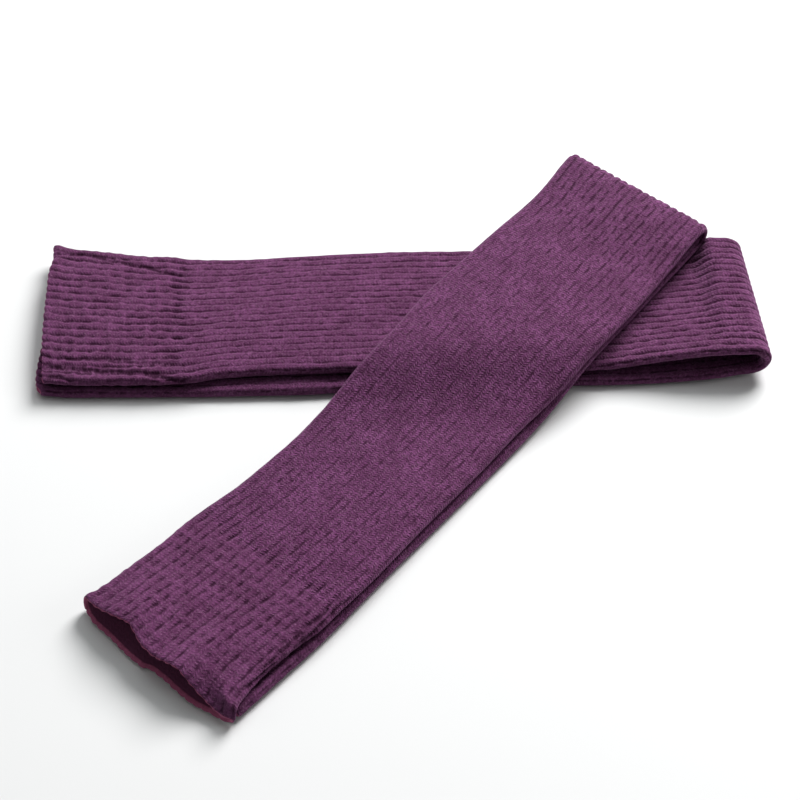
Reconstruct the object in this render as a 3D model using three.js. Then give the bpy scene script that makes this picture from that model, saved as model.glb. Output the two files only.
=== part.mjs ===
// A pair of knitted leg warmers, each folded in half across its length, one lying slantwise over the other.
// Millimetres, +Z up. They lie on the plane z = 0, and the origin is under the middle of the pair.
//
// Each leg warmer is one knitted tube, pressed flat and folded back on itself. Its wall is swept through
// rings that run from the lower cuff's mouth along the table, round the fold and back to the upper cuff's
// mouth. "Along" is measured from the upper cuff's mouth to the fold, and "across" from the middle line to
// the left.

import * as THREE from 'three';

// Knit
const RIBS_ROUND = 40;
const WALL = 2.2;
const HOLLOW = 1.2;
const FLAT = 2 * WALL + HOLLOW;
const HALF_FLAT = FLAT / 2;
const LAYER_GAP = 0.4;
const SEAM_GAP = 0.3;
const CUFF_LENGTH = 68;
const CUFF_RIB_DEPTH = 0.9;
const LINING_POINTS = 24;

// Levels of the middle of each half of the fold, above what it lies on
const LOWER_LEVEL = HALF_FLAT;
const UPPER_LEVEL = FLAT + LAYER_GAP + HALF_FLAT;

// Ribs counted to each side of an edge that are raised on every ring, and how sparse the hidden ones are
const EDGE_RIBS = 3;
const HIDDEN_STEP = 2;

// The fold's edge doesn't run straight across: its foldSlant grows over this length before the fold
const SLANT_RUN = 110;

// In a mouth table, across runs from the right edge to the left one. rise and drop move the top wall's edge
// up and down, and run is how far in from the mouth the drop and the bottom wall's droop reach. topBack,
// rimBack and lowerBack tell how far behind the mouth line the top wall, the bottom wall and the lower cuff
// end.

// The under leg warmer: its folded outline, far side left and near side right
const UNDER = {
  name: 'under',
  startX: -187.4,
  startY: 55.2,
  heading: 0.58,
  foldEnd: 376.5,
  foldSlant: -3.0,
  foldRadius: 7,
  foldLift: 1.6,
  lowerRise: { from: 315, to: 362 },
  upperFall: { from: 283, to: 358 },
  loft: 1.5,
  ribDepth: 0.8,
  lowerMouth: 0,
  colour: 0x6a3c62,
  cuffColour: 0x643a5e,
  upperEdges: [
    { along: 0, left: 46.2, right: -51.6 },
    { along: 11, left: 43.6, right: -52.4 },
    { along: 25, left: 41.8, right: -52.8 },
    { along: 48, left: 38.0, right: -53.0 },
    { along: 62, left: 37.4, right: -53.0 },
    { along: 75, left: 34.9, right: -52.4 },
    { along: 97, left: 34.3, right: -48.4 },
    { along: 135, left: 36.6, right: -46.0 },
    { along: 190, left: 39.5, right: -45.0 },
    { along: 285, left: 40.0, right: -45.2 },
    { along: 330, left: 40.6, right: -43.4 },
    { along: 376.5, left: 39.4, right: -43.4 },
  ],
  lowerEdges: [
    { along: 0, left: 40.0, right: -54.2 },
    { along: 14, left: 37.0, right: -55.6 },
    { along: 60, left: 31.0, right: -55.9 },
    { along: 135, left: 32.0, right: -54.9 },
    { along: 190, left: 34.5, right: -51.2 },
    { along: 290, left: 36.5, right: -50.0 },
    { along: 345, left: 39.0, right: -47.6 },
    { along: 376.5, left: 39.4, right: -43.4 },
  ],
  mouth: [
    { across: -54, rise: 0, drop: 0, run: 10, topBack: 5.0, rimBack: 5.0, lowerBack: 2.0 },
    { across: -49, rise: 0, drop: 0, run: 10, topBack: 3.0, rimBack: 3.0, lowerBack: -1.0 },
    { across: -41, rise: 0, drop: 0, run: 10, topBack: 2.3, rimBack: 2.3, lowerBack: -1.8 },
    { across: -26, rise: 0, drop: 0, run: 10, topBack: 0.5, rimBack: 0.5, lowerBack: -1.4 },
    { across: -10, rise: 0, drop: 0, run: 10, topBack: -0.6, rimBack: -0.6, lowerBack: 0.0 },
    { across: 10, rise: 0, drop: 0, run: 10, topBack: -1.3, rimBack: -1.3, lowerBack: 0.0 },
    { across: 24, rise: 0, drop: 0, run: 10, topBack: -1.9, rimBack: -1.7, lowerBack: 0.0 },
    { across: 35, rise: 0.2, drop: 0, run: 10, topBack: -0.7, rimBack: -0.7, lowerBack: 0.0 },
    { across: 41, rise: 0.7, drop: 0, run: 10, topBack: -1.3, rimBack: -1.0, lowerBack: 0.0 },
    { across: 47, rise: 1.3, drop: 0, run: 10, topBack: -1.5, rimBack: -1.4, lowerBack: 0.0 },
  ],
  humpRun: 14,
  shiftRun: 24,
  droop: 0,
  cuffRings: [0, 5, 15, 31, 50],
  lowerAlong: [110, 150, 195, 240, 280, 310, 332, 350],
  upperAlong: [346, 330, 315, 300, 283, 260, 225, 185, 145, 110, 85],
};

// The over leg warmer: it climbs on to the under one and its fold reaches past the far side. Its upper cuff
// is open: the top wall stands in two humps, and the bottom wall hangs over the end of the lower cuff to the
// table.
const OVER = {
  name: 'over',
  startX: -110.8,
  startY: -156.3,
  heading: 49.5,
  foldEnd: 376.7,
  foldSlant: 1.5,
  foldRadius: 5.3,
  foldLift: 0.6,
  lowerRise: { from: 345, to: 368 },
  upperFall: { from: 318, to: 368 },
  loft: 1.6,
  ribDepth: 0.5,
  lowerMouth: 9.5,
  colour: 0x6d3f66,
  cuffColour: 0x6a3f63,
  upperEdges: [
    { along: 0, left: 48.3, right: -48.7 },
    { along: 8, left: 45.6, right: -46.4 },
    { along: 23, left: 43.8, right: -45.0 },
    { along: 44, left: 41.8, right: -46.4 },
    { along: 60, left: 41.2, right: -48.6 },
    { along: 76, left: 39.3, right: -48.6 },
    { along: 95, left: 37.0, right: -48.8 },
    { along: 130, left: 36.0, right: -47.8 },
    { along: 180, left: 37.4, right: -47.4 },
    { along: 205, left: 38.0, right: -46.6 },
    { along: 245, left: 42.0, right: -49.0 },
    { along: 285, left: 42.4, right: -49.6 },
    { along: 335, left: 42.7, right: -47.4 },
    { along: 376.7, left: 46.8, right: -46.0 },
  ],
  lowerEdges: [
    { along: 0, left: 43.0, right: -48.2 },
    { along: 60, left: 38.0, right: -50.6 },
    { along: 110, left: 34.6, right: -49.9 },
    { along: 205, left: 34.0, right: -49.7 },
    { along: 290, left: 40.4, right: -48.7 },
    { along: 376.7, left: 46.8, right: -46.0 },
  ],
  mouth: [
    { across: -50, rise: 0, drop: 5.6, run: 4, topBack: 0.2, rimBack: 0.2, lowerBack: -6.0 },
    { across: -44, rise: 0, drop: 5.8, run: 4, topBack: -1.8, rimBack: -1.8, lowerBack: -6.0 },
    { across: -38, rise: 0, drop: 5.2, run: 8, topBack: -2.4, rimBack: -3.0, lowerBack: -2.0 },
    { across: -33, rise: 0, drop: 4.0, run: 10, topBack: -2.2, rimBack: -3.9, lowerBack: 0 },
    { across: -25, rise: 1.0, drop: 1.2, run: 10, topBack: -2.2, rimBack: -5.2, lowerBack: 0 },
    { across: -16, rise: 4.0, drop: 0, run: 10, topBack: -1.6, rimBack: -5.1, lowerBack: 0 },
    { across: -9, rise: 2.7, drop: 0, run: 10, topBack: -2.4, rimBack: -4.6, lowerBack: 0 },
    { across: -1, rise: 1.6, drop: 0, run: 10, topBack: -3.4, rimBack: -4.7, lowerBack: 0 },
    { across: 5, rise: 2.0, drop: 0, run: 10, topBack: -3.2, rimBack: -6.6, lowerBack: 0 },
    { across: 11, rise: 2.8, drop: 0, run: 10, topBack: -1.4, rimBack: -6.6, lowerBack: 0 },
    { across: 18, rise: 4.2, drop: 0, run: 10, topBack: 0.6, rimBack: -6.1, lowerBack: 0 },
    { across: 27, rise: 3.4, drop: 0, run: 10, topBack: -0.8, rimBack: -5.2, lowerBack: 0 },
    { across: 37, rise: 1.0, drop: 0, run: 10, topBack: -1.6, rimBack: -4.8, lowerBack: 0 },
    { across: 50, rise: 0, drop: 0, run: 10, topBack: -0.4, rimBack: -1.4, lowerBack: 0 },
  ],
  humpRun: 46,
  shiftRun: 30,
  droop: UPPER_LEVEL - HALF_FLAT - SEAM_GAP,
  cuffRings: [0, 2, 4, 7, 10, 16, 26, 38, 52],
  lowerAlong: [92, 114, 132, 148, 164, 180, 196, 212, 228, 246, 268, 296, 326, 350],
  upperAlong: [352, 332, 305, 276, 252, 232, 214, 198, 182, 166, 150, 134, 116, 94],
};

// How far the over leg warmer is lifted, by the distance across the under one, near side negative
const CLIMB = [
  { across: -110, lift: 0 },
  { across: -90, lift: 0.5 },
  { across: -75, lift: 2.4 },
  { across: -62, lift: 6.3 },
  { across: -50, lift: 10.8 },
  { across: -38, lift: 13.3 },
  { across: -20, lift: 13.9 },
  { across: 20, lift: 13.9 },
  { across: 44, lift: 13.7 },
  { across: 70, lift: 12.0 },
  { across: 110, lift: 10.2 },
];

// The weight of the over leg warmer keeps the far side of the under one's fold down further along
const PRESS = { delay: 56, fromAcross: -46, toAcross: 40, releaseFrom: 346, releaseTo: 361 };

// Rings of the lower cuffs, as distances from their mouths, and rings round each fold
const LOWER_CUFF_RINGS = [0, 5, 15, 31, 50];
const FOLD_RINGS = 7;
const SLOPE_STEP = 0.5;

const radians = THREE.MathUtils.degToRad;

function ease(from, to, value) {
  return THREE.MathUtils.smoothstep(value, from, to);
}

// A smooth curve through a table's rows: a cubic between each two, level where the rows turn back
function readTable(rows, key, column, value) {
  const last = rows.length - 1;
  const at = THREE.MathUtils.clamp(value, rows[0][key], rows[last][key]);
  const slopeBetween = (i) => (rows[i + 1][column] - rows[i][column]) / (rows[i + 1][key] - rows[i][key]);
  const slopeAt = (i) => {
    if (i === 0 || i === last) {
      return 0;
    }
    const before = slopeBetween(i - 1);
    const after = slopeBetween(i);
    return before * after <= 0 ? 0 : (2 * before * after) / (before + after);
  };
  let i = 0;
  while (i < last - 1 && at > rows[i + 1][key]) {
    i += 1;
  }
  const span = rows[i + 1][key] - rows[i][key];
  const t = (at - rows[i][key]) / span;
  const startWeight = (1 + 2 * t) * (1 - t) ** 2;
  const endWeight = t * t * (3 - 2 * t);
  return (
    startWeight * rows[i][column]
    + endWeight * rows[i + 1][column]
    + span * t * (1 - t) ** 2 * slopeAt(i)
    + span * t * t * (t - 1) * slopeAt(i + 1)
  );
}

function slopeOf(curve, at) {
  return (curve(at + SLOPE_STEP) - curve(at - SLOPE_STEP)) / (2 * SLOPE_STEP);
}

// The middle line of the flattened tube, seen from the side: a place on it and the way its outer side faces
function lowerPlace(warmer, along) {
  const { from, to } = warmer.lowerRise;
  const height = (at) => LOWER_LEVEL + warmer.foldLift * ease(from, to, at);
  const slope = slopeOf(height, along);
  return { along, height: height(along), outAlong: slope, outUp: -1, turn: 0 };
}

function upperHeight(warmer, along) {
  const { from, to } = warmer.upperFall;
  const top = LOWER_LEVEL + warmer.foldLift + 2 * warmer.foldRadius;
  return UPPER_LEVEL + (top - UPPER_LEVEL) * ease(from, to, along);
}

function upperPlace(warmer, along) {
  const slope = slopeOf((at) => upperHeight(warmer, at), along);
  return { along, height: upperHeight(warmer, along), outAlong: -slope, outUp: 1, turn: 1 };
}

function foldPlace(warmer, turn) {
  const angle = Math.PI * turn;
  const centre = warmer.foldEnd - HALF_FLAT - warmer.foldRadius;
  const middle = LOWER_LEVEL + warmer.foldLift + warmer.foldRadius;
  return {
    along: centre + warmer.foldRadius * Math.sin(angle),
    height: middle - warmer.foldRadius * Math.cos(angle),
    outAlong: Math.sin(angle),
    outUp: -Math.cos(angle),
    turn,
  };
}

// A flattened tube's outline, as a band with round ends: share 0 is its left edge, 0 to 0.5 its outer side
function bandPoint(halfWidth, halfHeight, share) {
  const straight = 2 * (halfWidth - halfHeight);
  const quarter = (Math.PI * halfHeight) / 2;
  const side = 2 * quarter + straight;
  const outer = share < 0.5;
  const run = (outer ? share : 1 - share) * 2 * side;
  const sign = outer ? 1 : -1;
  let across = halfWidth - halfHeight - (run - quarter);
  let angle = Math.PI / 2;
  if (run < quarter) {
    across = halfWidth - halfHeight;
    angle = run / halfHeight;
  } else if (run > quarter + straight) {
    across = halfHeight - halfWidth;
    angle = (run - straight) / halfHeight;
  }
  return {
    across: across + halfHeight * Math.cos(angle),
    out: sign * halfHeight * Math.sin(angle),
    normalAcross: Math.cos(angle),
    normalOut: sign * Math.sin(angle),
  };
}

// Shares of the outline where a ring has points: a crest and a valley for each rib that is raised,
// and fewer, plain ones where the side is hidden or rests on the table
function outerShares(sideRibbed) {
  const shares = [];
  for (let rib = 0; rib < RIBS_ROUND; rib += 1) {
    const fromEdge = Math.min(rib, Math.abs(rib - RIBS_ROUND / 2), RIBS_ROUND - rib);
    const onOuterSide = rib < RIBS_ROUND / 2;
    if (fromEdge <= EDGE_RIBS || (sideRibbed && onOuterSide)) {
      shares.push({ share: rib / RIBS_ROUND, valley: 0 });
      shares.push({ share: (rib + 0.5) / RIBS_ROUND, valley: 1 });
    } else if (rib % HIDDEN_STEP === 0) {
      shares.push({ share: rib / RIBS_ROUND, valley: 0 });
    }
  }
  return shares;
}

function liningShares() {
  return Array.from({ length: LINING_POINTS }, (_, i) => ({ share: i / LINING_POINTS, valley: 0 }));
}

// Edges of the flattened tube at a place, left and right of the middle line
function edgesAt(warmer, place) {
  const read = (rows, column) => readTable(rows, 'along', column, place.along);
  const mix = (column) => THREE.MathUtils.lerp(
    read(warmer.lowerEdges, column),
    read(warmer.upperEdges, column),
    place.turn,
  );
  return { left: mix('left'), right: mix('right') };
}

// Height that the over leg warmer takes on from what lies under it
function climbAt(x, y) {
  const angle = radians(UNDER.heading);
  const across = -Math.sin(angle) * (x - UNDER.startX) + Math.cos(angle) * (y - UNDER.startY);
  return readTable(CLIMB, 'across', 'lift', across);
}

// How much lower the far side of the under leg warmer's upper half lies than its near side
function pressAt(warmer, along, across) {
  const share = THREE.MathUtils.clamp(
    (across - PRESS.fromAcross) / (PRESS.toAcross - PRESS.fromAcross),
    0,
    1,
  );
  const delay = PRESS.delay * share * (1 - ease(PRESS.releaseFrom, PRESS.releaseTo, along));
  return upperHeight(warmer, along - delay) - upperHeight(warmer, along);
}

// Shift of a point of a lower cuff near its mouth
function lowerMouthShift(warmer, along, across) {
  const back = readTable(warmer.mouth, 'across', 'lowerBack', across);
  return back * (1 - ease(0, warmer.shiftRun, along - warmer.lowerMouth));
}

// Shift and rise of a point of an upper cuff near its mouth; top is 1 on the top wall, 0 on the bottom wall
function upperMouthChange(warmer, along, across, top) {
  const read = (column) => readTable(warmer.mouth, 'across', column, across);
  const humpShare = 1 - ease(0, warmer.humpRun, along);
  const shiftShare = 1 - ease(0, warmer.shiftRun, along);
  const droopShare = 1 - ease(0, read('run'), along);
  const topUp = read('rise') * humpShare - read('drop') * droopShare;
  const shift = THREE.MathUtils.lerp(read('rimBack'), read('topBack'), top) * shiftShare;
  return { shift, up: THREE.MathUtils.lerp(-warmer.droop * droopShare, topUp, top) };
}

// One ring of points on a surface that lies inset inside the wall's rib crests
function ringPoints(warmer, place, shares, inset, ribDepth) {
  const edges = edgesAt(warmer, place);
  const halfWidth = (edges.left - edges.right) / 2 - inset;
  const middle = (edges.left + edges.right) / 2;
  const halfHeight = HALF_FLAT - inset;
  const angle = radians(warmer.heading);
  const isUpper = place.turn === 1;
  const resting = place.turn === 0;
  const lifted = ease(warmer.lowerRise.from, warmer.lowerRise.to, place.along);
  const slantShare = ease(warmer.foldEnd - SLANT_RUN, warmer.foldEnd, place.along);
  return shares.map(({ share, valley }) => {
    const spot = bandPoint(halfWidth, halfHeight, share);
    const faceDown = resting ? Math.max(spot.normalOut, 0) : 0;
    const depth = valley * ribDepth * (1 - faceDown * (1 - lifted));
    const across = middle + spot.across - depth * spot.normalAcross;
    const out = spot.out - depth * spot.normalOut;
    const fromMiddle = THREE.MathUtils.clamp(spot.across / halfWidth, -1, 1);
    const top = ease(-halfHeight, halfHeight, spot.out);
    const length = Math.hypot(place.outAlong, place.outUp);
    const slant = warmer.foldSlant * fromMiddle * slantShare;
    let along = place.along + slant + (out * place.outAlong) / length;
    let z = place.height + (out * place.outUp) / length;
    if (isUpper) {
      const loftShare = 1 - ease(warmer.upperFall.from, warmer.foldEnd, along);
      z += warmer.loft * top * (1 - fromMiddle ** 2) * loftShare;
      const change = upperMouthChange(warmer, place.along, across, top);
      along += change.shift;
      z += change.up;
      if (warmer === UNDER) {
        z += pressAt(warmer, place.along, across);
      }
    }
    if (resting) {
      along += lowerMouthShift(warmer, place.along, across);
    }
    const x = warmer.startX + along * Math.cos(angle) - across * Math.sin(angle);
    const y = warmer.startY + along * Math.sin(angle) + across * Math.cos(angle);
    if (warmer === OVER) {
      z += climbAt(x, y);
    }
    return { share, x, y, z };
  });
}

// Joins two rings with triangles, stepping round whichever ring is behind
function stitch(triangles, first, second) {
  const passed = (ring, step) => {
    const turns = Math.floor(step / ring.length);
    return ring[step % ring.length].share + turns;
  };
  let i = 0;
  let j = 0;
  while (i < first.length || j < second.length) {
    const firstNext = i < first.length ? passed(first, i + 1) : Infinity;
    const secondNext = j < second.length ? passed(second, j + 1) : Infinity;
    const a = first[i % first.length];
    const b = second[j % second.length];
    if (firstNext <= secondNext) {
      i += 1;
      triangles.push([a, first[i % first.length], b]);
    } else {
      j += 1;
      triangles.push([a, second[j % second.length], b]);
    }
  }
}

// A closed wall through a row of places: outer rings, inner rings and a rim at each end
function wallGeometry(warmer, places) {
  const outer = places.map((place) => (
    ringPoints(warmer, place, outerShares(place.ribbed), 0, place.ribDepth)
  ));
  const inner = places.map((place) => ringPoints(warmer, place, liningShares(), WALL, 0));
  const triangles = [];
  const last = places.length - 1;
  for (let i = 0; i < last; i += 1) {
    stitch(triangles, outer[i + 1], outer[i]);
    stitch(triangles, inner[i], inner[i + 1]);
  }
  stitch(triangles, outer[0], inner[0]);
  stitch(triangles, inner[last], outer[last]);

  const numbers = new Map();
  const positions = [];
  const index = [];
  for (const point of triangles.flat()) {
    if (!numbers.has(point)) {
      numbers.set(point, numbers.size);
      positions.push(point.x, point.y, point.z);
    }
    index.push(numbers.get(point));
  }
  const geometry = new THREE.BufferGeometry();
  geometry.setAttribute('position', new THREE.Float32BufferAttribute(positions, 3));
  geometry.setIndex(index);
  geometry.computeVertexNormals();
  return geometry;
}

function knitMesh(name, warmer, places, colour) {
  const material = new THREE.MeshStandardMaterial({ color: colour, roughness: 0.95, metalness: 0 });
  const mesh = new THREE.Mesh(wallGeometry(warmer, places), material);
  mesh.name = name;
  return mesh;
}

// Places of a cuff, from its mouth to its seam with the tube
function lowerCuffPlaces(warmer) {
  const end = CUFF_LENGTH - SEAM_GAP / 2;
  const alongs = [...LOWER_CUFF_RINGS.map((ring) => warmer.lowerMouth + ring), end];
  return alongs.map((along) => (
    { ...lowerPlace(warmer, along), ribbed: false, ribDepth: CUFF_RIB_DEPTH }
  ));
}

function upperCuffPlaces(warmer) {
  const end = CUFF_LENGTH - SEAM_GAP / 2;
  return [...warmer.cuffRings, end].reverse().map((along) => (
    { ...upperPlace(warmer, along), ribbed: true, ribDepth: CUFF_RIB_DEPTH }
  ));
}

// Places of the tube between its cuffs: along the table, round the fold and back
function tubePlaces(warmer) {
  const start = CUFF_LENGTH + SEAM_GAP / 2;
  const lower = [start, ...warmer.lowerAlong].map((along) => (
    { ...lowerPlace(warmer, along), ribbed: along > warmer.lowerRise.from }
  ));
  const fold = Array.from({ length: FOLD_RINGS }, (_, i) => (
    { ...foldPlace(warmer, i / (FOLD_RINGS - 1)), ribbed: true }
  ));
  const upper = [...warmer.upperAlong, start].map((along) => (
    { ...upperPlace(warmer, along), ribbed: true }
  ));
  return [...lower, ...fold, ...upper].map((place) => ({ ...place, ribDepth: warmer.ribDepth }));
}

function legWarmer(warmer) {
  const group = new THREE.Group();
  group.add(
    knitMesh(`${warmer.name}_cuff_lower`, warmer, lowerCuffPlaces(warmer), warmer.cuffColour),
    knitMesh(`${warmer.name}_tube`, warmer, tubePlaces(warmer), warmer.colour),
    knitMesh(`${warmer.name}_cuff_upper`, warmer, upperCuffPlaces(warmer), warmer.cuffColour),
  );
  return group;
}

function legWarmerPair() {
  const pair = new THREE.Group();
  pair.add(legWarmer(UNDER), legWarmer(OVER));
  const box = new THREE.Box3().setFromObject(pair);
  const middle = box.getCenter(new THREE.Vector3());
  pair.position.set(-middle.x, -middle.y, 0);
  return pair;
}

export default legWarmerPair();
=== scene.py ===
# A pair of knitted leg warmers, each folded in half across its length, one lying slantwise over the other.
# Lengths are millimetres, and are turned into Blender's metres where a mesh, a light or the camera is made.
#
# Each leg warmer is one flattened tube. "Along" runs from its upper cuff's mouth to the fold, and "across"
# from its middle line to the left. A share tells how far round the tube a point lies: 0 is the left edge,
# 0 to 0.5 the side that faces out of the fold, and 0.5 to 1 the side that faces into it.
import math
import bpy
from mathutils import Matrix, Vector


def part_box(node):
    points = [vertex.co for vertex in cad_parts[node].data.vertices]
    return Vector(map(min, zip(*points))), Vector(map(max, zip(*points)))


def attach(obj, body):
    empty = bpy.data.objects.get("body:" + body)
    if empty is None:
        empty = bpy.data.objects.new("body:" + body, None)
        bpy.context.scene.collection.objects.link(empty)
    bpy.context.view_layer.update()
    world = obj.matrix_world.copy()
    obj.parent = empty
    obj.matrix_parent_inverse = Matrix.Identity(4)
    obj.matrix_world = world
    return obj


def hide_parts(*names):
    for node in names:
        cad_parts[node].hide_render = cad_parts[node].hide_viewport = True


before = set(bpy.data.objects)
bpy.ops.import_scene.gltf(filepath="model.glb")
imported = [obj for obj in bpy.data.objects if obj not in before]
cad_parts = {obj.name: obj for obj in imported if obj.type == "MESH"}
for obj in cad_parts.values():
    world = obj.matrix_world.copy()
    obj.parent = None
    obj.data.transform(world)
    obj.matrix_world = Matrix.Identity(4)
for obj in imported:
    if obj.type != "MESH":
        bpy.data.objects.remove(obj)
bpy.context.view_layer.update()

from types import SimpleNamespace

import bpy
import numpy as np

MM = 0.001

# Knit
RIBS_ROUND = 40
WALL = 2.2
HOLLOW = 1.2
FLAT = 2 * WALL + HOLLOW
HALF_FLAT = FLAT / 2
LAYER_GAP = 0.4
SEAM_GAP = 0.3
CUFF_LENGTH = 68
TUBE_LENGTH = 750
SLANT_RUN = 110

# Levels of the middle of each half of the fold, above what it lies on
LOWER_LEVEL = HALF_FLAT
UPPER_LEVEL = FLAT + LAYER_GAP + HALF_FLAT

# In a mouth table, across runs from the right edge to the left one. rise and drop move the top wall's edge
# up and down, and run is how far in from the mouth the drop and the bottom wall's droop reach. top_back,
# rim_back and lower_back tell how far behind the mouth line the top wall, the bottom wall and the lower cuff
# end.

# The under leg warmer: its folded outline, far side left and near side right
UNDER = SimpleNamespace(
    name="under",
    start_x=-187.4,
    start_y=55.2,
    heading=math.radians(0.58),
    fold_end=376.5,
    fold_slant=-3.0,
    fold_radius=7,
    fold_lift=1.6,
    lower_rise=(315, 362),
    upper_fall=(283, 358),
    loft=1.5,
    lower_mouth=0,
    upper_edges=[
        dict(along=0, left=46.2, right=-51.6),
        dict(along=11, left=43.6, right=-52.4),
        dict(along=25, left=41.8, right=-52.8),
        dict(along=48, left=38.0, right=-53.0),
        dict(along=62, left=37.4, right=-53.0),
        dict(along=75, left=34.9, right=-52.4),
        dict(along=97, left=34.3, right=-48.4),
        dict(along=135, left=36.6, right=-46.0),
        dict(along=190, left=39.5, right=-45.0),
        dict(along=285, left=40.0, right=-45.2),
        dict(along=330, left=40.6, right=-43.4),
        dict(along=376.5, left=39.4, right=-43.4),
    ],
    lower_edges=[
        dict(along=0, left=40.0, right=-54.2),
        dict(along=14, left=37.0, right=-55.6),
        dict(along=60, left=31.0, right=-55.9),
        dict(along=135, left=32.0, right=-54.9),
        dict(along=190, left=34.5, right=-51.2),
        dict(along=290, left=36.5, right=-50.0),
        dict(along=345, left=39.0, right=-47.6),
        dict(along=376.5, left=39.4, right=-43.4),
    ],
    mouth=[
        dict(across=-54, rise=0, drop=0, run=10, top_back=5.0, rim_back=5.0, lower_back=2.0),
        dict(across=-49, rise=0, drop=0, run=10, top_back=3.0, rim_back=3.0, lower_back=-1.0),
        dict(across=-41, rise=0, drop=0, run=10, top_back=2.3, rim_back=2.3, lower_back=-1.8),
        dict(across=-26, rise=0, drop=0, run=10, top_back=0.5, rim_back=0.5, lower_back=-1.4),
        dict(across=-10, rise=0, drop=0, run=10, top_back=-0.6, rim_back=-0.6, lower_back=0.0),
        dict(across=10, rise=0, drop=0, run=10, top_back=-1.3, rim_back=-1.3, lower_back=0.0),
        dict(across=24, rise=0, drop=0, run=10, top_back=-1.9, rim_back=-1.7, lower_back=0.0),
        dict(across=35, rise=0.2, drop=0, run=10, top_back=-0.7, rim_back=-0.7, lower_back=0.0),
        dict(across=41, rise=0.7, drop=0, run=10, top_back=-1.3, rim_back=-1.0, lower_back=0.0),
        dict(across=47, rise=1.3, drop=0, run=10, top_back=-1.5, rim_back=-1.4, lower_back=0.0),
    ],
    hump_run=14,
    shift_run=24,
    droop=0,
    rib_depths=[
        dict(along=60, depth=0.75),
        dict(along=82, depth=0.42),
        dict(along=110, depth=0.36),
        dict(along=170, depth=0.38),
        dict(along=260, depth=0.62),
        dict(along=376.5, depth=0.68),
    ],
    # On the cuffs: how deep the rib valleys lie, how strong their painted shade is, and the dimples' depth,
    # which also sets their painted shade, and dip
    cuff_valley=0.72,
    cuff_painted_shade=0.9,
    dimple_depth=0.35,
    cell_dip=0.35,
)

# The over leg warmer: it climbs on to the under one and its fold reaches past the far side. Its upper cuff
# is open: the top wall stands in two humps, and the bottom wall hangs over the end of the lower cuff to the
# table.
OVER = SimpleNamespace(
    name="over",
    start_x=-110.8,
    start_y=-156.3,
    heading=math.radians(49.5),
    fold_end=376.7,
    fold_slant=1.5,
    fold_radius=5.3,
    fold_lift=0.6,
    lower_rise=(345, 368),
    upper_fall=(318, 368),
    loft=1.6,
    lower_mouth=9.5,
    upper_edges=[
        dict(along=0, left=48.3, right=-48.7),
        dict(along=8, left=45.6, right=-46.4),
        dict(along=23, left=43.8, right=-45.0),
        dict(along=44, left=41.8, right=-46.4),
        dict(along=60, left=41.2, right=-48.6),
        dict(along=76, left=39.3, right=-48.6),
        dict(along=95, left=37.0, right=-48.8),
        dict(along=130, left=36.0, right=-47.8),
        dict(along=180, left=37.4, right=-47.4),
        dict(along=205, left=38.0, right=-46.6),
        dict(along=245, left=42.0, right=-49.0),
        dict(along=285, left=42.4, right=-49.6),
        dict(along=335, left=42.7, right=-47.4),
        dict(along=376.7, left=46.8, right=-46.0),
    ],
    lower_edges=[
        dict(along=0, left=43.0, right=-48.2),
        dict(along=60, left=38.0, right=-50.6),
        dict(along=110, left=34.6, right=-49.9),
        dict(along=205, left=34.0, right=-49.7),
        dict(along=290, left=40.4, right=-48.7),
        dict(along=376.7, left=46.8, right=-46.0),
    ],
    mouth=[
        dict(across=-50, rise=0, drop=5.6, run=4, top_back=0.2, rim_back=0.2, lower_back=-6.0),
        dict(across=-44, rise=0, drop=5.8, run=4, top_back=-1.8, rim_back=-1.8, lower_back=-6.0),
        dict(across=-38, rise=0, drop=5.2, run=8, top_back=-2.4, rim_back=-3.0, lower_back=-2.0),
        dict(across=-33, rise=0, drop=4.0, run=10, top_back=-2.2, rim_back=-3.9, lower_back=0),
        dict(across=-25, rise=1.0, drop=1.2, run=10, top_back=-2.2, rim_back=-5.2, lower_back=0),
        dict(across=-16, rise=4.0, drop=0, run=10, top_back=-1.6, rim_back=-5.1, lower_back=0),
        dict(across=-9, rise=2.7, drop=0, run=10, top_back=-2.4, rim_back=-4.6, lower_back=0),
        dict(across=-1, rise=1.6, drop=0, run=10, top_back=-3.4, rim_back=-4.7, lower_back=0),
        dict(across=5, rise=2.0, drop=0, run=10, top_back=-3.2, rim_back=-6.6, lower_back=0),
        dict(across=11, rise=2.8, drop=0, run=10, top_back=-1.4, rim_back=-6.6, lower_back=0),
        dict(across=18, rise=4.2, drop=0, run=10, top_back=0.6, rim_back=-6.1, lower_back=0),
        dict(across=27, rise=3.4, drop=0, run=10, top_back=-0.8, rim_back=-5.2, lower_back=0),
        dict(across=37, rise=1.0, drop=0, run=10, top_back=-1.6, rim_back=-4.8, lower_back=0),
        dict(across=50, rise=0, drop=0, run=10, top_back=-0.4, rim_back=-1.4, lower_back=0),
    ],
    hump_run=46,
    shift_run=30,
    droop=UPPER_LEVEL - HALF_FLAT - SEAM_GAP,
    rib_depths=[
        dict(along=60, depth=0.7),
        dict(along=84, depth=0.3),
        dict(along=180, depth=0.24),
        dict(along=290, depth=0.26),
        dict(along=345, depth=0.5),
        dict(along=376.7, depth=0.8),
    ],
    # On the cuffs: how deep the rib valleys lie, how strong their painted shade is, and the dimples' depth,
    # which also sets their painted shade, and dip
    cuff_valley=0.4,
    cuff_painted_shade=0.55,
    dimple_depth=0.45,
    cell_dip=0.15,
)

# How far the over leg warmer is lifted, by the distance across the under one, near side negative
CLIMB = [
    dict(across=-110, lift=0),
    dict(across=-90, lift=0.5),
    dict(across=-75, lift=2.4),
    dict(across=-62, lift=6.3),
    dict(across=-50, lift=10.8),
    dict(across=-38, lift=13.3),
    dict(across=-20, lift=13.9),
    dict(across=20, lift=13.9),
    dict(across=44, lift=13.7),
    dict(across=70, lift=12.0),
    dict(across=110, lift=10.2),
]

# The weight of the over leg warmer keeps the far side of the under one's fold down further along
PRESS = SimpleNamespace(delay=56, across=(-46, 40), release=(346, 361))

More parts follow.
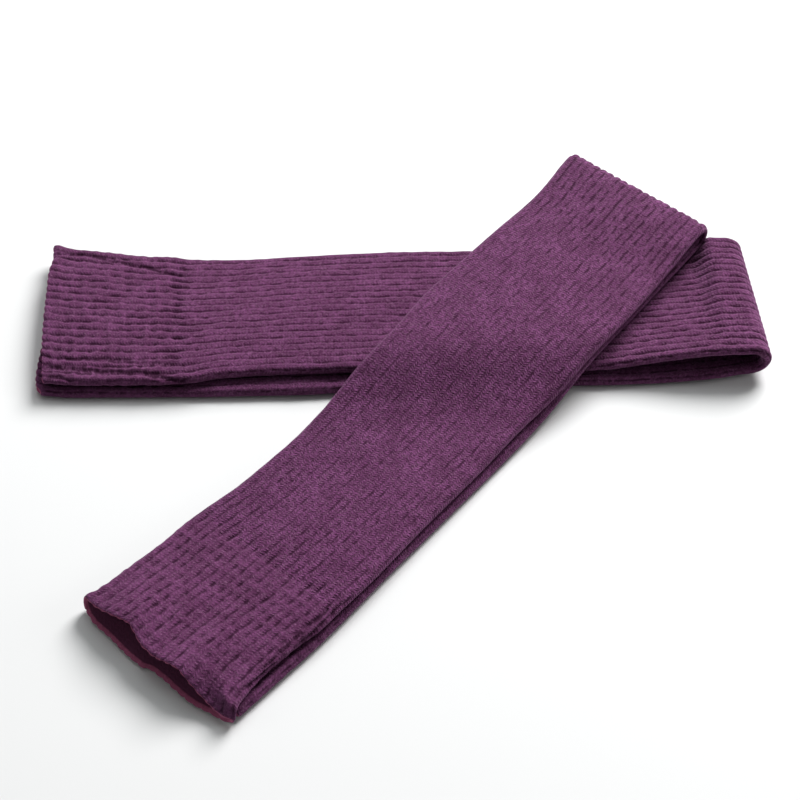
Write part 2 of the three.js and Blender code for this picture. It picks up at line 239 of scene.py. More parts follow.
# Knit relief, below the rib crests
VALLEY_SHARPNESS = 1.2
BAR_PITCH = 6.35
CUFF_END_SLANT = 0.11
PUCKER_DEPTH = 0.5
PUCKER_RUN = 4.5
DEEPEST = 1.6
UNEVEN_STEP = 4.0
DASH_RUN = 3.2

# Loops at a mouth: how far the rib crests and the loops of yarn reach past the valleys, and how far in
CREST_REACH = 0.5
LOOP_REACH = 0.25
REACH_RUN = 6.0

# Narrow creases pressed into the upper sides, each from one spot to another: how deep and how wide
UNDER_CREASES = [
    dict(along=-2, across=-41.2, to_along=62, to_across=-46.6, depth=2.2, width=1.1),
    dict(along=55, across=-46.2, to_along=76, to_across=-51.6, depth=2.0, width=1.2),
    dict(along=2, across=-35.6, to_along=78, to_across=-41.4, depth=0.7, width=1.0),
    dict(along=1, across=-47.4, to_along=13, to_across=-48.9, depth=1.4, width=1.2),
    dict(along=-1, across=36.2, to_along=20, to_across=35.0, depth=0.9, width=1.1),
    dict(along=18, across=35.2, to_along=72, to_across=19.6, depth=1.0, width=1.2),
]
OVER_CREASES = [
    dict(along=24, across=-42.4, to_along=68, to_across=-42.6, depth=1.5, width=1.1),
    dict(along=9, across=-42.2, to_along=42, to_across=-47.2, depth=1.6, width=1.1),
    dict(along=40, across=-47.0, to_along=70, to_across=-45.6, depth=1.5, width=1.1),
]

# Broad hollows in the upper halves, which both walls follow
UNDER_HOLLOWS = [
    dict(along=60, across=20, to_along=120, to_across=10, depth=0.7, width=9),
    dict(along=150, across=-20, to_along=250, to_across=-12, depth=0.8, width=8),
]
OVER_HOLLOWS = [
    dict(along=12, across=-2, to_along=46, to_across=-6, depth=0.7, width=5),
    dict(along=70, across=16, to_along=140, to_across=2, depth=0.8, width=10),
    dict(along=170, across=-20, to_along=290, to_across=-8, depth=0.8, width=10),
]

# Points in each rib, as parts of the rib from crest to crest: on the side that shows, and on the hidden one
SEEN_STEPS = [0, 0.16, 0.31, 0.42, 0.5, 0.58, 0.69, 0.84]
HIDDEN_STEPS = [0, 0.25, 0.5, 0.75]
LINING_STEP = 6.0
RIM_STEPS = 5

# The painted light and shade attribute: up to 1 for painted shade in the dark lines of the knit, and down to
# these for a painted highlight on the rims and painted shade on the lining
RIM_PAINTED_LIGHT = -0.5
LINING_PAINTED_SHADE = -1.0
# How deep a valley is when its line of painted shade is fully dark, and how far past that a deeper valley
# counts
FULL_LINE_DEPTH = 0.4
DARKEST_LINE = 1.4


def ease(start, end, value):
    t = np.clip((value - start) / (end - start), 0, 1)
    return t * t * (3 - 2 * t)


def mix(first, second, share):
    return first + (second - first) * share


def read_table(rows, key, column, value):
    """A smooth curve through a table's rows: a cubic between each two, level where the rows turn back."""
    keys = np.array([row[key] for row in rows], float)
    numbers = np.array([row[column] for row in rows], float)
    between = np.diff(numbers) / np.diff(keys)
    before, after = between[:-1], between[1:]
    same_way = before * after > 0
    slopes = np.zeros(len(rows))
    slopes[1:-1] = np.where(same_way, 2 * before * after / np.where(same_way, before + after, 1), 0)
    at = np.clip(value, keys[0], keys[-1])
    i = np.clip(np.searchsorted(keys, at) - 1, 0, len(rows) - 2)
    span = keys[i + 1] - keys[i]
    t = (at - keys[i]) / span
    start_weight = (1 + 2 * t) * (1 - t) ** 2
    end_weight = t * t * (3 - 2 * t)
    bend = span * t * (1 - t) * ((1 - t) * slopes[i] - t * slopes[i + 1])
    return start_weight * numbers[i] + end_weight * numbers[i + 1] + bend


def slope_of(curve, at):
    step = 0.5
    return (curve(at + step) - curve(at - step)) / (2 * step)


# Places on the middle line of the flattened tube, seen from the side. Each row holds along, height, the way
# that the outer side faces (along and up), turn, from 0 on the lower half to 1 on the upper, and the route.

def fold_centre(warmer):
    return warmer.fold_end - HALF_FLAT - warmer.fold_radius


def lower_places(warmer, along):
    def height(at):
        return LOWER_LEVEL + warmer.fold_lift * ease(*warmer.lower_rise, at)
    blank = np.zeros_like(along)
    return np.column_stack([along, height(along), slope_of(height, along), blank - 1, blank, along])


def upper_height(warmer, along):
    top = LOWER_LEVEL + warmer.fold_lift + 2 * warmer.fold_radius
    return UPPER_LEVEL + (top - UPPER_LEVEL) * ease(*warmer.upper_fall, along)


def upper_places(warmer, along):
    slope = slope_of(lambda at: upper_height(warmer, at), along)
    ones = np.ones_like(along)
    route = TUBE_LENGTH - along
    return np.column_stack([along, upper_height(warmer, along), -slope, ones, ones, route])


def fold_places(warmer, turn):
    angle = math.pi * turn
    centre = fold_centre(warmer)
    middle = LOWER_LEVEL + warmer.fold_lift + warmer.fold_radius
    return np.column_stack([
        centre + warmer.fold_radius * np.sin(angle),
        middle - warmer.fold_radius * np.cos(angle),
        np.sin(angle),
        -np.cos(angle),
        turn,
        mix(centre, TUBE_LENGTH - centre, turn),
    ])


def band_point(half_width, half_height, shares):
    """A flattened tube's outline, as a band with round ends: where a share of it lies, and its way out."""
    straight = 2 * (half_width - half_height)
    quarter = math.pi * half_height / 2
    side = 2 * quarter + straight
    shares = shares % 1
    outer = shares < 0.5
    run = np.where(outer, shares, 1 - shares) * 2 * side
    sign = np.where(outer, 1, -1)
    first = run < quarter
    last = run > quarter + straight
    angle = np.where(first, run / half_height, np.where(last, (run - straight) / half_height, math.pi / 2))
    flat_across = half_width - half_height - (run - quarter)
    end_across = np.where(first, 1, -1) * (half_width - half_height)
    across = np.where(first | last, end_across, flat_across)
    return SimpleNamespace(
        across=across + half_height * np.cos(angle),
        out=sign * half_height * np.sin(angle),
        normal_across=np.cos(angle),
        normal_out=sign * np.sin(angle),
    )


def edges_at(warmer, along, turn):
    def edge(column):
        lower = read_table(warmer.lower_edges, "along", column, along)
        upper = read_table(warmer.upper_edges, "along", column, along)
        return mix(lower, upper, turn)
    return edge("left"), edge("right")


def climb_at(x, y):
    """Height that the over leg warmer takes on from what lies under it."""
    across = -math.sin(UNDER.heading) * (x - UNDER.start_x) + math.cos(UNDER.heading) * (y - UNDER.start_y)
    return read_table(CLIMB, "across", "lift", across)


def press_at(warmer, along, across):
    """How much lower the far side of the under leg warmer's upper half lies than its near side."""
    share = np.clip((across - PRESS.across[0]) / (PRESS.across[1] - PRESS.across[0]), 0, 1)
    delay = PRESS.delay * share * (1 - ease(*PRESS.release, along))
    return upper_height(warmer, along - delay) - upper_height(warmer, along)


def mouth_change(warmer, along, across, top, turn):
    """Shift and rise of a point near a mouth; top is 1 on the top wall and 0 on the bottom wall."""
    def read(column):
        return read_table(warmer.mouth, "across", column, across)
    hump_share = 1 - ease(0, warmer.hump_run, along)
    shift_share = 1 - ease(0, warmer.shift_run, along)
    droop_share = 1 - ease(0, read("run"), along)
    top_up = read("rise") * hump_share - read("drop") * droop_share
    upper_shift = mix(read("rim_back"), read("top_back"), top) * shift_share
    lower_shift = read("lower_back") * (1 - ease(0, warmer.shift_run, along - warmer.lower_mouth))
    shift = np.where(turn == 1, upper_shift, np.where(turn == 0, lower_shift, 0))
    return shift, np.where(turn == 1, mix(-warmer.droop * droop_share, top_up, top), 0)


def trough_depth(troughs, along, across):
    """Troughs along straight lines, each fading out at its ends."""
    total = 0
    for row in troughs:
        run_along, run_across = row["to_along"] - row["along"], row["to_across"] - row["across"]
        length = math.hypot(run_along, run_across)
        one_along, one_across = run_along / length, run_across / length
        passed = (along - row["along"]) * one_along + (across - row["across"]) * one_across
        aside = (across - row["across"]) * one_along - (along - row["along"]) * one_across
        soft = 4 + row["width"]
        fade = ease(-soft, soft, passed) * (1 - ease(length - soft, length + soft, passed))
        total = np.maximum(total, row["depth"] * fade * np.exp(-(aside / row["width"]) ** 2))
    return total


def mouth_reach(warmer, places, shares):
    """How far each point of the outer side reaches ahead at a mouth, where crests and loops stand out."""
    along, _, _, _, turn, _ = places.T[:, :, None]
    from_crest = 2 * np.abs((shares * RIBS_ROUND + 0.5) % 1 - 0.5)
    loops = LOOP_GAINS[warmer.name][np.floor(shares * RIBS_ROUND * 2).astype(int)]
    loop = np.sin(2 * math.pi * shares * RIBS_ROUND) ** 2
    reach = CREST_REACH * (0.5 - from_crest) + LOOP_REACH * loop * loops
    return reach * (1 - ease(0, REACH_RUN, along - np.where(turn == 1, 0, warmer.lower_mouth)))


def surface(warmer, places, shares, inset=0.0, depth=0.0, reach=0.0):
    """Points on a surface that lies inset inside the rib crests, a row for each place."""
    along, height, out_along, out_up, turn, _ = places.T[:, :, None]
    left, right = edges_at(warmer, along, turn)
    half_width = (left - right) / 2 - inset
    half_height = HALF_FLAT - inset
    spot = band_point(half_width, half_height, shares)
    lifted = ease(*warmer.lower_rise, along)
    face_down = np.where(turn == 0, np.maximum(spot.normal_out, 0), 0)
    depth = depth * (1 - face_down * (1 - lifted))
    across = (left + right) / 2 + spot.across - depth * spot.normal_across
    out = spot.out - depth * spot.normal_out
    from_middle = np.clip(spot.across / half_width, -1, 1)
    top = ease(-half_height, half_height, spot.out)
    slant = warmer.fold_slant * from_middle * ease(warmer.fold_end - SLANT_RUN, warmer.fold_end, along)
    length = np.hypot(out_along, out_up)
    at = along + slant + out * out_along / length
    z = height + out * out_up / length

    upper = turn == 1
    loft_share = 1 - ease(warmer.upper_fall[0], warmer.fold_end, at)
    z = z + np.where(upper, warmer.loft * top * (1 - from_middle ** 2) * loft_share, 0)
    hollows = UNDER_HOLLOWS if warmer is UNDER else OVER_HOLLOWS
    z = z - np.where(upper, trough_depth(hollows, along, across) * top, 0)
    shift, rise = mouth_change(warmer, along, across, top, turn)
    at = at + shift - reach
    z = z + rise
    if warmer is UNDER:
        z = z + np.where(upper, press_at(warmer, along, across), 0)
    x = warmer.start_x + at * math.cos(warmer.heading) - across * math.sin(warmer.heading)
    y = warmer.start_y + at * math.sin(warmer.heading) + across * math.cos(warmer.heading)
    if warmer is OVER:
        z = z + climb_at(x, y)
    return np.stack([x, y, z + np.zeros_like(x)], axis=-1)


def rib_shares():
    """Shares with points: close on the side that faces out of the fold, and fewer on the hidden side."""
    half = RIBS_ROUND // 2
    seen = [(rib + step) / RIBS_ROUND for rib in range(half) for step in SEEN_STEPS]
    hidden = [(rib + step) / RIBS_ROUND for rib in range(half, RIBS_ROUND) for step in HIDDEN_STEPS]
    return np.array(seen + hidden)


def wobble(warmer, route, shares):
    """How far the ribs stray from straight lines, as a share."""
    turns = 2 * math.pi
    phase = 0.0 if warmer is UNDER else 2.1
    stray = 0.06 * np.sin(turns * (route / 113 + 2 * shares) + phase)
    stray = stray + 0.05 * np.sin(turns * (route / 37 - 7 * shares) + 2 * phase + 1)
    stray = stray + 0.04 * np.sin(turns * (route / 11 + 13 * shares) + phase + 2)
    return stray / RIBS_ROUND


def uneven(gains, ribs, steps):
    """A gain for each rib and step along it, eased from one step to the next."""
    step = np.floor(steps).astype(int)
    return mix(gains[ribs, step], gains[ribs, step + 1], ease(0, 1, steps - step))


def knit_relief(warmer, places, shares):
    """How deep the knit lies below its rib crests: rounded ribs, and on the cuffs dimples between bars. Also
    the painted shade that darkens the rib valleys and the dimples, and how far across each point lies.
    """
    along, _, _, _, turn, route = places.T[:, :, None]
    left, right = edges_at(warmer, along, turn)
    across = mix(left, right, 2 * np.minimum(shares, 1 - shares))
    from_crest = 2 * np.abs((shares * RIBS_ROUND + 0.5) % 1 - 0.5)
    wide_rib = np.sin(math.pi / 2 * from_crest) ** 2
    round_rib = wide_rib ** VALLEY_SHARPNESS
    ribs = np.floor(shares * RIBS_ROUND).astype(int)
    gain = uneven(RIB_GAINS[warmer.name], ribs, route / UNEVEN_STEP)

    from_cuff_end = along + CUFF_END_SLANT * across - CUFF_LENGTH
    cuff = 1 - ease(-3, 2, from_cuff_end)
    bars = 20 + from_cuff_end / BAR_PITCH
    cells = np.clip(np.floor(bars - 0.5), 0, CELL_GAINS.shape[-1] - 1).astype(int)
    from_bar = 2 * np.abs(bars % 1 - 0.5)
    dimple = ease(0.05, 0.75, from_bar) * CELL_GAINS[ribs, cells]
    narrow_rib = wide_rib ** 1.6
    pucker = np.exp(-((from_cuff_end - 1) / PUCKER_RUN) ** 2)
    tube_depth = read_table(warmer.rib_depths, "along", "depth", along)
    valley = round_rib * (mix(tube_depth, warmer.cuff_valley, cuff) + PUCKER_DEPTH * pucker) * gain
    valley = valley + narrow_rib * cuff * warmer.dimple_depth * dimple
    dip = warmer.cell_dip * cuff * dimple * (1 - wide_rib)
    # Painted shade along the rib valleys, stronger where they are deeper, and in the cuffs' dimples
    line_share = mix(np.minimum(tube_depth / FULL_LINE_DEPTH, DARKEST_LINE), warmer.cuff_painted_shade, cuff)
    line = ease(0.45, 1, from_crest) * line_share * gain
    dark = line + cuff * narrow_rib * dimple * warmer.dimple_depth
    return valley + dip, np.clip(dark, 0, 1), across


class Wall:
    """Vertices and faces of one closed wall: each vertex keeps how far round and along it is, and its painted
    light and shade value.
    """

    def __init__(self):
        self.points, self.ribs, self.routes, self.painted_lights_and_shades = [], [], [], []
        self.quads, self.triangles = [], []
        self.count = 0

    def add_rings(self, points, shares, routes, painted_lights_and_shades):
        rings, ring_points = points.shape[:2]
        numbers = self.count + np.arange(rings * ring_points).reshape(rings, ring_points)
        self.count += rings * ring_points
        self.points.append(points.reshape(-1, 3))
        self.ribs.append(np.tile(shares * RIBS_ROUND, rings))
        self.routes.append(np.repeat(routes, ring_points))
        self.painted_lights_and_shades.append(np.broadcast_to(painted_lights_and_shades, (rings, ring_points)).ravel())
        return numbers

    def join_grid(self, numbers, facing_out):
        following = np.roll(numbers, -1, axis=1)
        first, second = (numbers[1:], numbers[:-1]) if facing_out else (numbers[:-1], numbers[1:])
        first_next, second_next = (
            (following[1:], following[:-1]) if facing_out else (following[:-1], following[1:])
        )
        self.quads.append(np.stack([first, first_next, second_next, second], axis=-1).reshape(-1, 4))

    def stitch(self, first, first_shares, second, second_shares):
        """Joins two rings with triangles, stepping round whichever ring is behind."""
        i = j = 0
        firsts, seconds = len(first), len(second)
        while i < firsts or j < seconds:
            first_next = first_shares[(i + 1) % firsts] + (i + 1) // firsts if i < firsts else math.inf
            second_next = second_shares[(j + 1) % seconds] + (j + 1) // seconds if j < seconds else math.inf
            a, b = first[i % firsts], second[j % seconds]
            if first_next <= second_next:
                i += 1
                self.triangles.append((a, first[i % firsts], b))
            else:
                j += 1
                self.triangles.append((a, second[j % seconds], b))


def make_mesh(name, wall, flat_rings):
    """A smooth mesh with a UV map of ribs and metres along the tube, and sharp edges round its cut ends."""
    points = np.concatenate(wall.points)
    ribs, routes = np.concatenate(wall.ribs), np.concatenate(wall.routes)
    quads, triangles = np.concatenate(wall.quads), np.array(wall.triangles, int)
    corners = np.concatenate([quads.ravel(), triangles.ravel()])
    sizes = np.concatenate([np.full(len(quads), 4), np.full(len(triangles), 3)])
    starts = np.concatenate([[0], np.cumsum(sizes)[:-1]])

    mesh = bpy.data.meshes.new(name)
    mesh.vertices.add(len(points))
    mesh.vertices.foreach_set("co", ((points + SHIFT) * MM).astype(np.float32).ravel())
    mesh.loops.add(len(corners))
    mesh.loops.foreach_set("vertex_index", corners.astype(np.int32))
    mesh.polygons.add(len(sizes))
    mesh.polygons.foreach_set("loop_start", starts.astype(np.int32))
    mesh.update(calc_edges=True)
    mesh.polygons.foreach_set("use_smooth", np.ones(len(sizes), bool))

    across_seam = np.concatenate([
        np.repeat(np.ptp(ribs[quads], axis=1), 4),
        np.repeat(np.ptp(ribs[triangles], axis=1), 3),
    ]) > RIBS_ROUND / 2
    corner_ribs = ribs[corners]
    corner_ribs = corner_ribs + np.where(across_seam & (corner_ribs < RIBS_ROUND / 2), RIBS_ROUND, 0)
    uv = np.column_stack([corner_ribs / RIBS_ROUND, routes[corners] / TUBE_LENGTH])
    mesh.uv_layers.new(name="Knit").uv.foreach_set("vector", uv.astype(np.float32).ravel())

    painted_light_and_shade = mesh.attributes.new("painted_light_and_shade", "FLOAT", "POINT")
    painted_light_and_shade.data.foreach_set("value", np.concatenate(wall.painted_lights_and_shades).astype(np.float32))
    ends = np.zeros(len(mesh.edges) * 2, np.int32)
    mesh.edges.foreach_get("vertices", ends)
    ends = ends.reshape(-1, 2)
    sharp = np.zeros(len(ends), bool)
    for ring in flat_rings:
        sharp |= np.isin(ends, ring).all(axis=1)
    mesh.attributes.new("sharp_edge", "BOOLEAN", "EDGE").data.foreach_set("value", sharp)
    return mesh


def rim_rows(warmer, make_places, mouth, inner_first):
    """Places, insets and relief shares of the round rim at a mouth, between the lining and the outside, with
    the painted highlight for each row.
    """
    turns = np.linspace(0, math.pi, RIM_STEPS + 1)
    if inner_first:
        turns = turns[::-1]
    radius = WALL / 2
    places = make_places(warmer, mouth + radius * (1 - np.sin(turns)))
    inset = radius * (1 - np.cos(turns))
    return places, inset, np.maximum(np.cos(turns), 0), RIM_PAINTED_LIGHT * ease(0, 0.4, inset / WALL)


def knit_piece(name, warmer, body, mouth=None, mouth_first=True, make_places=None):
    """One knitted wall through the places of body, with a rounded rim at its mouth if it has one."""
    shares = rib_shares()
    lining_shares = np.arange(RIBS_ROUND) / RIBS_ROUND
    creases = UNDER_CREASES if warmer is UNDER else OVER_CREASES
    columns = [body, np.zeros(len(body)), np.ones(len(body)), np.zeros(len(body))]
    if mouth is not None:
        rim = rim_rows(warmer, make_places, mouth, mouth_first)
        pairs = zip(rim, columns) if mouth_first else zip(columns, rim)
        columns = [np.concatenate(pair) for pair in pairs]
    places, inset, relief, rim_painted_light = columns

    depth, shade, across = knit_relief(warmer, places, shares)
    pressed = trough_depth(creases, places[:, 0][:, None], across)
    pressed = np.where((places[:, 4][:, None] == 1) & (shares < 0.5), pressed, 0)
    depth = np.minimum(depth + pressed, DEEPEST) * relief[:, None]
    # Painted shade in the valleys, dimples and pressed creases, fading round the rim, plus the rim's painted
    # highlight
    shade = np.minimum(shade + pressed, 1) * relief[:, None] + rim_painted_light[:, None]
    spots = shares + wobble(warmer, places[:, 5][:, None], shares)
    wall = Wall()
    reach = 0.0 if mouth is None else mouth_reach(warmer, places, shares)
    outer_points = surface(warmer, places, spots, inset[:, None], depth, reach)
    outer = wall.add_rings(outer_points, shares, places[:, 5], shade)
    wall.join_grid(outer, facing_out=True)

    first, last = body[0], body[-1]
    steps = max(2, round(abs(last[5] - first[5]) / LINING_STEP))
    picks = np.unique(np.linspace(0, len(body) - 1, steps + 1).round().astype(int))
    # The lining gets painted shade, for the dark hollow inside the tube
    lining = wall.add_rings(
        surface(warmer, body[picks], lining_shares, WALL), lining_shares, body[picks][:, 5], LINING_PAINTED_SHADE
    )
    wall.join_grid(lining, facing_out=False)
    wall.stitch(outer[0], shares, lining[0], lining_shares)
    wall.stitch(lining[-1], lining_shares, outer[-1], shares)
    flat_rings = []
    if mouth is None or not mouth_first:
        flat_rings.append(outer[0])
    if mouth is None or mouth_first:
        flat_rings.append(outer[-1])
    piece = bpy.data.objects.new(name, make_mesh(name, wall, flat_rings))
    bpy.context.scene.collection.objects.link(piece)
    return piece


def steps_between(start, end, step):
    return np.linspace(start, end, max(2, round(abs(end - start) / step) + 1))


def lower_cuff(warmer):
    start = warmer.lower_mouth + WALL / 2 + 1
    body = lower_places(warmer, steps_between(start, CUFF_LENGTH, BAR_PITCH / 7))
    return knit_piece(f"{warmer.name}_lower_cuff_knit", warmer, body, warmer.lower_mouth, True, lower_places)


def upper_cuff(warmer):
    body = upper_places(warmer, steps_between(CUFF_LENGTH, WALL / 2 + 1, BAR_PITCH / 8))
    return knit_piece(f"{warmer.name}_upper_cuff_knit", warmer, body, 0, False, upper_places)


def leg_tube(warmer):
    centre = fold_centre(warmer)
    lower = lower_places(warmer, steps_between(CUFF_LENGTH, centre, 2.8))
    fold = fold_places(warmer, np.linspace(0, 1, 23)[1:-1])
    upper = upper_places(warmer, steps_between(centre, CUFF_LENGTH, 1.65))
    return knit_piece(f"{warmer.name}_tube_knit", warmer, np.concatenate([lower, fold, upper]))


def layout_shift():
    """From the layout's own coordinates to the frame's, by the under tube, which has no mouth."""
    low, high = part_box("under_tube")
    places = lower_places(UNDER, steps_between(CUFF_LENGTH, UNDER.lower_rise[0], 2))
    tube = surface(UNDER, places, rib_shares())
    return low.x / MM - tube[..., 0].min() - SEAM_GAP / 2, low.y / MM - tube[..., 1].min(), 0


# Materials

def new_node(tree, kind, inputs=None, **settings):
    node = tree.nodes.new(kind)
    for name, value in settings.items():
        setattr(node, name, value)
    for name, value in (inputs or {}).items():
        if isinstance(value, bpy.types.NodeSocket):
            tree.links.new(value, node.inputs[name])
        else:
            node.inputs[name].default_value = value
    return node


def maths(tree, operation, *values):
    return new_node(tree, "ShaderNodeMath", dict(enumerate(values)), operation=operation).outputs[0]


def srgb(red, green, blue):
    """A colour in Blender's linear values from the usual 0 to 255 ones."""
    def linear(part):
        part = part / 255
        return part / 12.92 if part <= 0.04045 else ((part + 0.055) / 1.055) ** 2.4
    return (linear(red), linear(green), linear(blue), 1)


def mix_colour(tree, share, first, second, blend="MIX"):
    node = new_node(tree, "ShaderNodeMix", data_type="RGBA", blend_type=blend, clamp_factor=True)
    for number, value in ((0, share), (6, first), (7, second)):
        if isinstance(value, bpy.types.NodeSocket):
            tree.links.new(value, node.inputs[number])
        else:
            node.inputs[number].default_value = value
    return node.outputs[2]


def noise(tree, coordinates, size, detail=2.0, roughness=0.5):
    """Noise whose patches are about size millimetres across."""
    inputs = {"Vector": coordinates, "Scale": 1 / (size * MM), "Detail": detail, "Roughness": roughness}
    return new_node(tree, "ShaderNodeTexNoise", inputs).outputs["Fac"]


def ramp(tree, value, low, high):
    inputs = {"Value": value, "From Min": low, "From Max": high}
    return new_node(tree, "ShaderNodeMapRange", inputs, interpolation_type="SMOOTHSTEP").outputs["Result"]


def stitches(tree, course, lean):
    """Height of the V stitches, two leaning strands in each wale, with flecks and dashes that follow them."""
    uv = new_node(tree, "ShaderNodeUVMap", uv_map="Knit").outputs["UV"]
    split = new_node(tree, "ShaderNodeSeparateXYZ", {"Vector": uv})
    place = new_node(tree, "ShaderNodeTexCoord").outputs["Object"]
    drift = maths(tree, "SUBTRACT", noise(tree, place, 3.0, 2.0, 0.6), 0.5)
    wales = maths(tree, "MULTIPLY", split.outputs["X"], RIBS_ROUND)
    rows = maths(tree, "MULTIPLY_ADD", split.outputs["Y"], TUBE_LENGTH / course, drift)
    from_crest = maths(tree, "PINGPONG", wales, 0.5)
    leaning = maths(tree, "MULTIPLY_ADD", from_crest, lean, rows)
    wave = maths(tree, "SINE", maths(tree, "MULTIPLY", leaning, 2 * math.pi))
    strand = maths(tree, "MULTIPLY_ADD", wave, 0.5, 0.5)
    leg = maths(tree, "PINGPONG", from_crest, 0.25)
    stretched = new_node(tree, "ShaderNodeCombineXYZ", {
        "X": maths(tree, "MULTIPLY", wales, 3.0),
        "Y": maths(tree, "MULTIPLY", leaning, 0.9),
    }).outputs["Vector"]
    fleck_inputs = {"Vector": stretched, "Scale": 1.0, "Detail": 2.0, "Roughness": 0.65}
    flecks = new_node(tree, "ShaderNodeTexNoise", fleck_inputs, noise_dimensions="2D").outputs["Fac"]
    along_ribs = new_node(tree, "ShaderNodeCombineXYZ", {
        "X": maths(tree, "MULTIPLY", split.outputs["X"], RIBS_ROUND),
        "Y": maths(tree, "MULTIPLY", split.outputs["Y"], TUBE_LENGTH / DASH_RUN),
    }).outputs["Vector"]
    dash_inputs = {"Vector": along_ribs, "Scale": 1.0, "Detail": 2.0, "Roughness": 0.6}
    dashes = new_node(tree, "ShaderNodeTexNoise", dash_inputs, noise_dimensions="2D").outputs["Fac"]
    return flecks, dashes, maths(tree, "MULTIPLY", strand, ramp(tree, leg, 0.0, 0.2))


def knit_material(name, course, lean, stitch_depth, fleck_share, dull, bright):
    material = bpy.data.materials.new(name)
    material.use_nodes = True
    tree = material.node_tree
    shader = tree.nodes["Principled BSDF"]
    place = new_node(tree, "ShaderNodeTexCoord").outputs["Object"]
    painted_light_and_shade = new_node(tree, "ShaderNodeAttribute", attribute_name="painted_light_and_shade").outputs["Fac"]
    flecks, dashes, stitch = stitches(tree, course, lean)

    patches = noise(tree, place, 13, 4.0, 0.65)
    heather = noise(tree, place, 1.8, 3.0, 0.7)
    fuzz = noise(tree, place, 0.9, 2.0, 0.6)
    colour = mix_colour(tree, ramp(tree, patches, 0.38, 0.62), dull, bright)
    colour = mix_colour(tree, ramp(tree, heather, 0.44, 0.64), colour, srgb(73, 35, 64))
    dark_fleck = maths(tree, "MULTIPLY", ramp(tree, flecks, 0.46, 0.62), fleck_share)
    colour = mix_colour(tree, dark_fleck, colour, srgb(50, 18, 42))
    pale = maths(tree, "MULTIPLY", ramp(tree, fuzz, 0.5, 0.66), 0.45)
    colour = mix_colour(tree, pale, colour, srgb(130, 90, 120))
    # Painted shade between the stitches, where their height is low
    between = maths(tree, "MULTIPLY", maths(tree, "SUBTRACT", 1.0, stitch), 0.18)
    colour = mix_colour(tree, between, colour, srgb(64, 24, 54))
    # Painted shade along the rib valleys, dimples and creases, broken into dashes
    broken = maths(tree, "MULTIPLY_ADD", ramp(tree, dashes, 0.4, 0.56), 0.75, 0.2)
    dark = maths(tree, "MULTIPLY", ramp(tree, painted_light_and_shade, 0.05, 0.85), broken)
    colour = mix_colour(tree, dark, colour, srgb(44, 12, 36))
    # Painted highlight on the mouth rims, paler than the yarn
    colour = mix_colour(tree, ramp(tree, painted_light_and_shade, -0.1, -0.4), colour, srgb(150, 78, 108))
    # Painted shade on the lining, darkening the hollow inside the tube
    colour = mix_colour(tree, ramp(tree, painted_light_and_shade, -0.6, -0.95), colour, srgb(84, 42, 66))
    tree.links.new(colour, shader.inputs["Base Color"])

    fine = noise(tree, place, 0.6, 3.0, 0.7)
    height = maths(tree, "MULTIPLY_ADD", fine, 1.0, stitch)
    bump_inputs = {"Height": height, "Strength": 1.0, "Distance": stitch_depth * MM}
    bump = new_node(tree, "ShaderNodeBump", bump_inputs)
    tree.links.new(bump.outputs["Normal"], shader.inputs["Normal"])
    shader.inputs["Roughness"].default_value = 0.95
    shader.inputs["Specular IOR Level"].default_value = 0.1
    shader.inputs["Sheen Weight"].default_value = 0.25
    shader.inputs["Sheen Roughness"].default_value = 0.5
    shader.inputs["Sheen Tint"].default_value = srgb(225, 165, 215)
    return material


def floor_material():
    material = bpy.data.materials.new("white_paper")
    material.use_nodes = True
    shader = material.node_tree.nodes["Principled BSDF"]
    shader.inputs["Base Color"].default_value = (0.7, 0.7, 0.7, 1)
    shader.inputs["Roughness"].default_value = 0.9
    shader.inputs["Specular IOR Level"].default_value = 0.1
    return material


# Surroundings

def make_floor():
    half = 6.0
    mesh = bpy.data.meshes.new("floor")
    corners = [(-half, -half, 0), (half, -half, 0), (half, half, 0), (-half, half, 0)]
    mesh.from_pydata(corners, [], [(0, 1, 2, 3)])
    floor = bpy.data.objects.new("floor", mesh)
    floor.location.z = -0.0002
    mesh.materials.append(floor_material())
    bpy.context.scene.collection.objects.link(floor)


def make_light(name, size, power, place, target=(0, 0, 0), colour=(1, 1, 1)):
    data = bpy.data.lights.new(name, "AREA")
    data.shape = "DISK"
    data.size = size
    data.energy = power
    data.color = colour
    light = bpy.data.objects.new(name, data)
    light.location = place
    way = np.array(target) - np.array(place)
    light.rotation_euler = (
        math.acos(-way[2] / np.linalg.norm(way)),
        0,
        math.atan2(way[1], way[0]) - math.pi / 2,
    )
    bpy.context.scene.collection.objects.link(light)


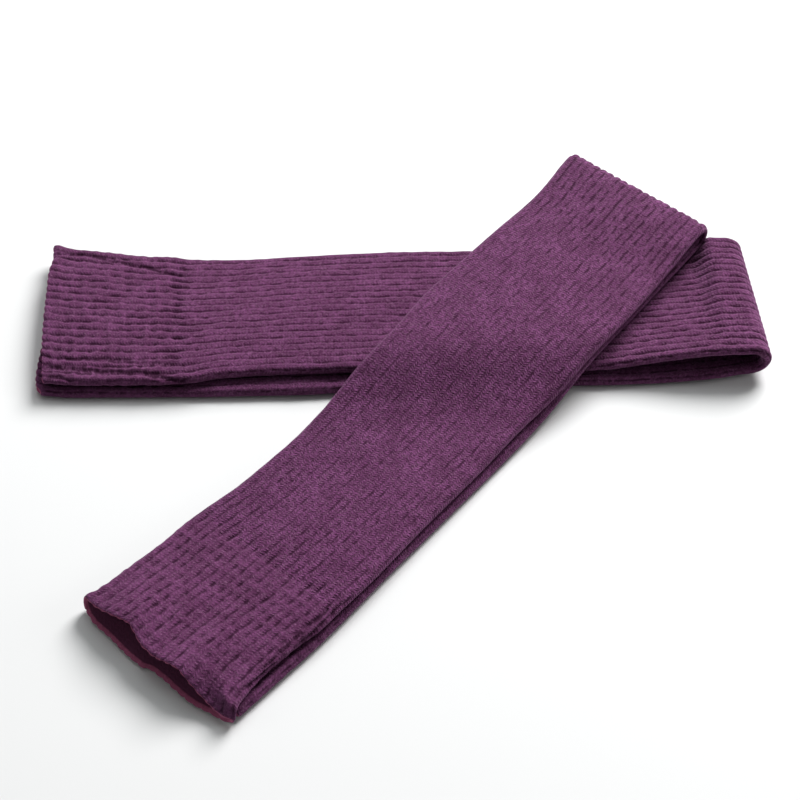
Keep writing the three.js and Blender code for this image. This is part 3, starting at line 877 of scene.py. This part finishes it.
def light_the_scene():
    make_light("key", 1.3, 98, (0.95, 1.5, 1.4))
    make_light("side", 1.0, 9, (2.0, 0.0, 0.8))
    make_light("fill", 1.5, 4, (-2.0, 0.0, 1.1))
    make_light("top", 1.6, 20, (-0.2, 1.4, 2.2), colour=(0.94, 1.0, 1.0))
    world = bpy.data.worlds.new("studio")
    world.use_nodes = True
    background = world.node_tree.nodes["Background"]
    background.inputs["Color"].default_value = (1, 1, 1, 1)
    background.inputs["Strength"].default_value = 0.12
    bpy.context.scene.world = world
    bpy.context.scene.view_settings.view_transform = "Standard"


def make_camera():
    tilt = math.radians(50.78)
    distance = 889.89
    focal_pixels, image_pixels = 1725.34, 800
    data = bpy.data.cameras.new("camera")
    data.sensor_width = 36
    data.lens = data.sensor_width * focal_pixels / image_pixels
    data.clip_start, data.clip_end = 0.05, 50
    camera = bpy.data.objects.new("camera", data)
    camera.location = (
        SHIFT[0] * MM,
        (SHIFT[1] - distance * math.cos(tilt)) * MM,
        distance * math.sin(tilt) * MM,
    )
    camera.rotation_euler = (math.pi / 2 - tilt, 0, 0)
    bpy.context.scene.collection.objects.link(camera)
    bpy.context.scene.camera = camera


draws = np.random.default_rng(11)
RIB_STEPS = math.ceil(TUBE_LENGTH / UNEVEN_STEP) + 2
RIB_GAINS = {warmer.name: draws.uniform(0.2, 1.35, (RIBS_ROUND, RIB_STEPS)) for warmer in (UNDER, OVER)}
CELL_GAINS = draws.uniform(0.45, 1.25, (RIBS_ROUND, 24))
LOOP_GAINS = {warmer.name: draws.uniform(-0.4, 1, RIBS_ROUND * 2) for warmer in (UNDER, OVER)}

SHIFT = layout_shift()
make_camera()
make_floor()
light_the_scene()

rib_knit = knit_material("rib_knit", 1.5, 1.4, 0.22, 0.6, srgb(86, 43, 77), srgb(107, 59, 98))
stretched_knit = knit_material("stretched_knit", 1.4, 1.6, 0.22, 0.8, srgb(88, 44, 80), srgb(110, 61, 102))
waffle_knit = knit_material("waffle_knit", 1.5, 1.2, 0.14, 0.4, srgb(84, 42, 75), srgb(103, 56, 94))


def dress(piece, node, material):
    """Puts a knitted wall in the place of its node."""
    piece.data.materials.append(material)
    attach(piece, "root")
    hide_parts(node)


for warmer in (UNDER, OVER):
    name = warmer.name
    tube_knit = rib_knit if warmer is UNDER else stretched_knit
    dress(
        lower_cuff(warmer), f"{name}_cuff_lower", waffle_knit
    )
    dress(
        leg_tube(warmer),
        f"{name}_tube",
        tube_knit,
    )
    dress(
        upper_cuff(warmer),
        f"{name}_cuff_upper",
        waffle_knit,
    )
